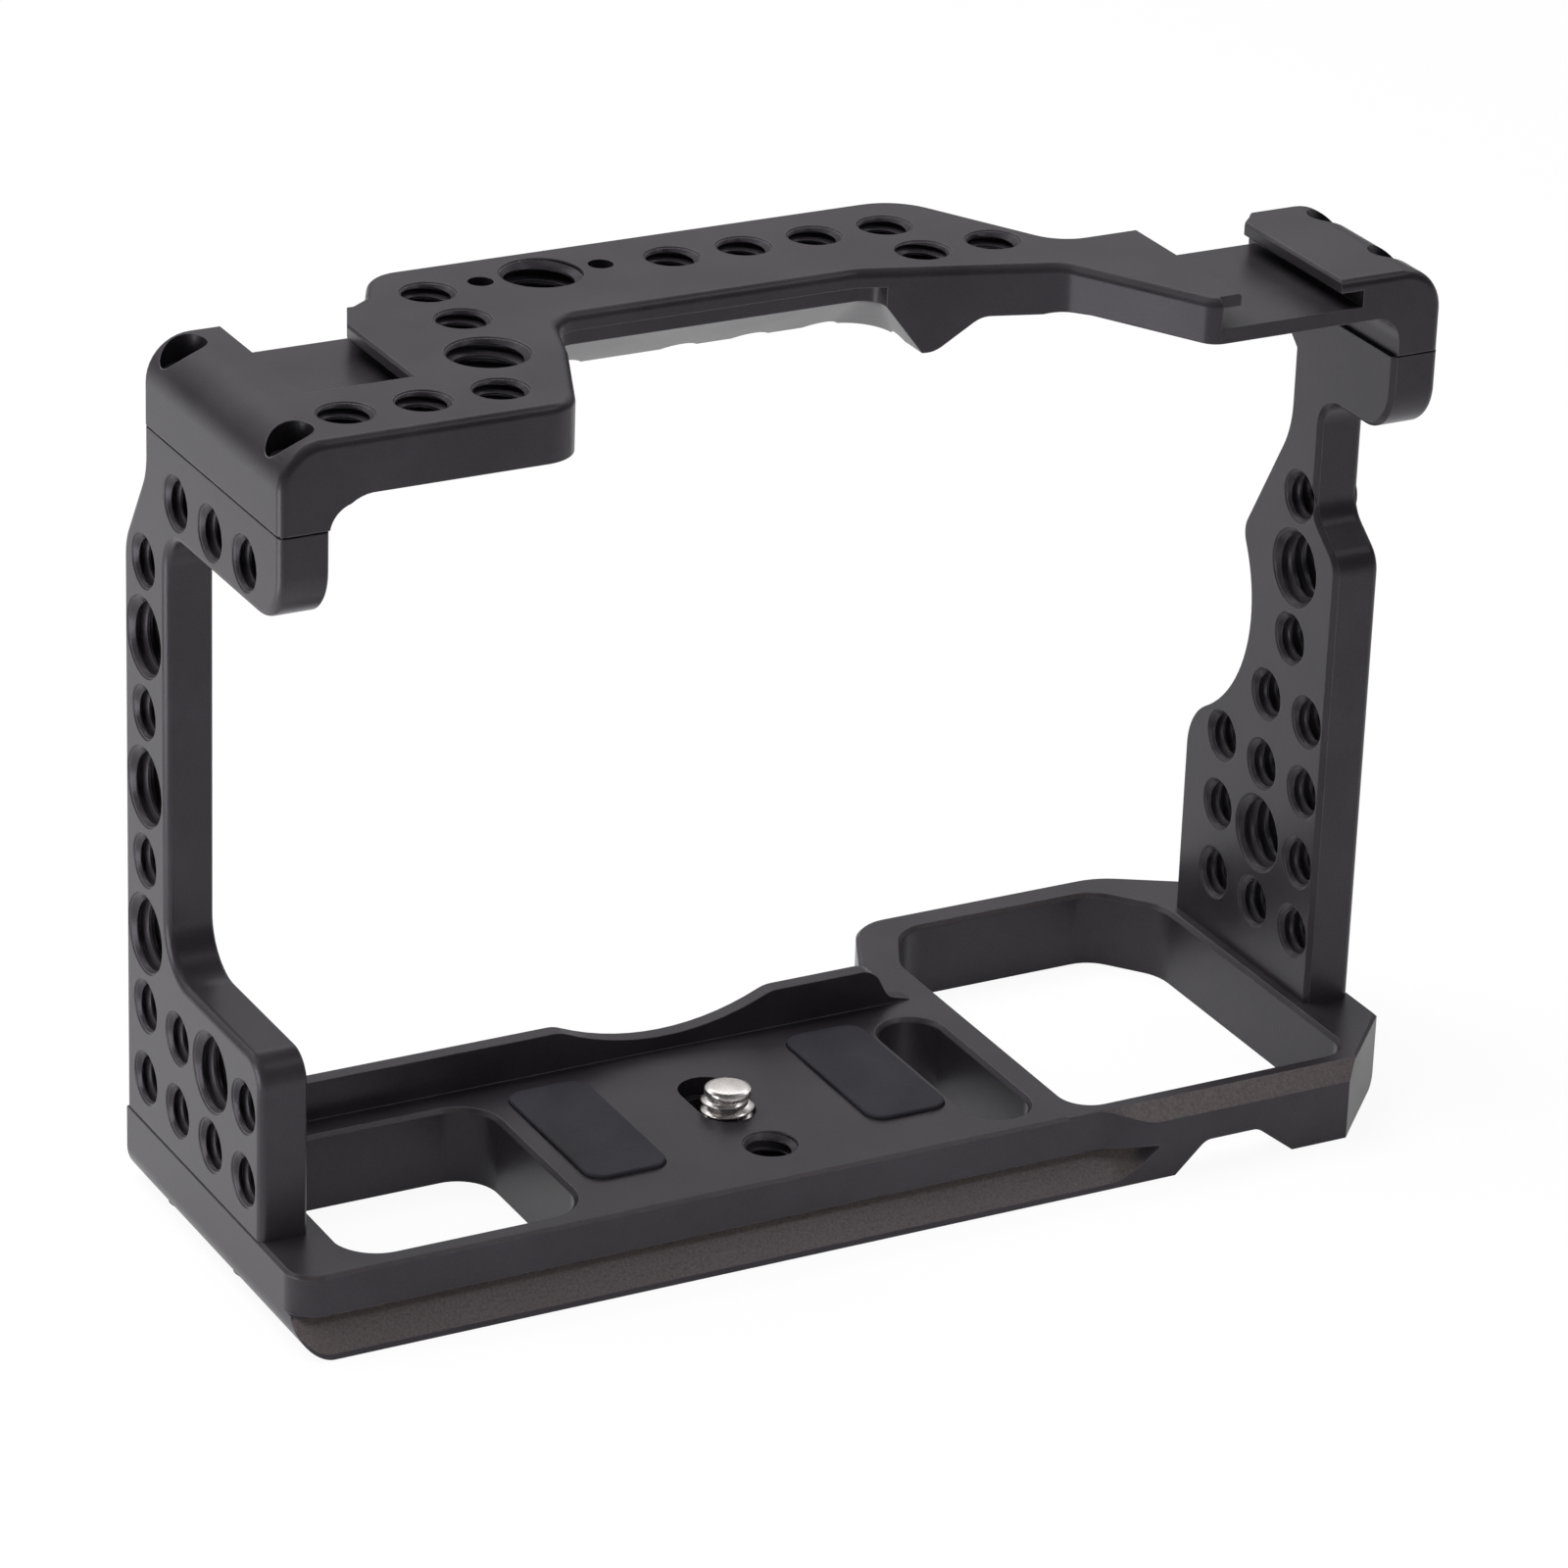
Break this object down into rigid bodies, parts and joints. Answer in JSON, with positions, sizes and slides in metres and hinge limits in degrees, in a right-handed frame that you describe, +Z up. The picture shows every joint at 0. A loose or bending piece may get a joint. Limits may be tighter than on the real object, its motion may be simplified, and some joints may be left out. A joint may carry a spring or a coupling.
{
  "type": "camera cage",
  "caption": "Skeleton cage around a camera body, with threaded accessory holes, cold shoes, rubber seat pads and a sliding captive camera screw.",
  "frame": {"origin": "bottom centre of the bounding box, on the underside of the base plate", "axes": "+X to the right seen from behind the camera, +Y towards the lens, +Z up"},
  "size_m": [0.146, 0.0584, 0.1061],
  "materials": {
    "black_anodised": "fine bead-blasted black anodising",
    "joint_screw_steel": "black oxide",
    "adhesive_film": "thin black adhesive film",
    "grip_rubber": "matte moulded rubber",
    "polished_steel": "polished stainless steel",
    "slide_plastic": "smooth low-friction plastic"
  },
  "bodies": {
    "cage": {"base_plate": "black_anodised", "left_side_plate": "black_anodised", "right_side_plate": "black_anodised", "top_plate": "black_anodised", "top_screw_left_rear": "joint_screw_steel", "top_screw_left_far": "joint_screw_steel", "top_screw_right_rear": "joint_screw_steel", "top_screw_right_far": "joint_screw_steel", "base_screw_left_rear": "joint_screw_steel", "base_screw_left_far": "joint_screw_steel", "base_screw_right_rear": "joint_screw_steel", "base_screw_right_far": "joint_screw_steel", "pad_film_left": "adhesive_film", "pad_film_right": "adhesive_film", "grip_pad_left": "grip_rubber", "grip_pad_right": "grip_rubber"},
    "guide_washer": {"guide_washer": "slide_plastic"},
    "thrust_washer": {"thrust_washer": "polished_steel"},
    "camera_screw": {"camera_screw": "polished_steel"}
  },
  "joints": [
    {"name": "screw_slide", "type": "slide", "parent": "cage", "child": "guide_washer", "axis": [0, 1, 0], "range_m": [0, 0.0054]},
    {"name": "screw_lift", "type": "slide", "parent": "guide_washer", "child": "thrust_washer", "axis": [0, 0, 1], "range_m": [0, 0.00195]},
    {"name": "screw_turn", "type": "hinge", "parent": "thrust_washer", "child": "camera_screw", "pos_m": [-0.0102, -0.00905, 0.0095], "axis": [0, 0, 1], "continuous": true}
  ]
}
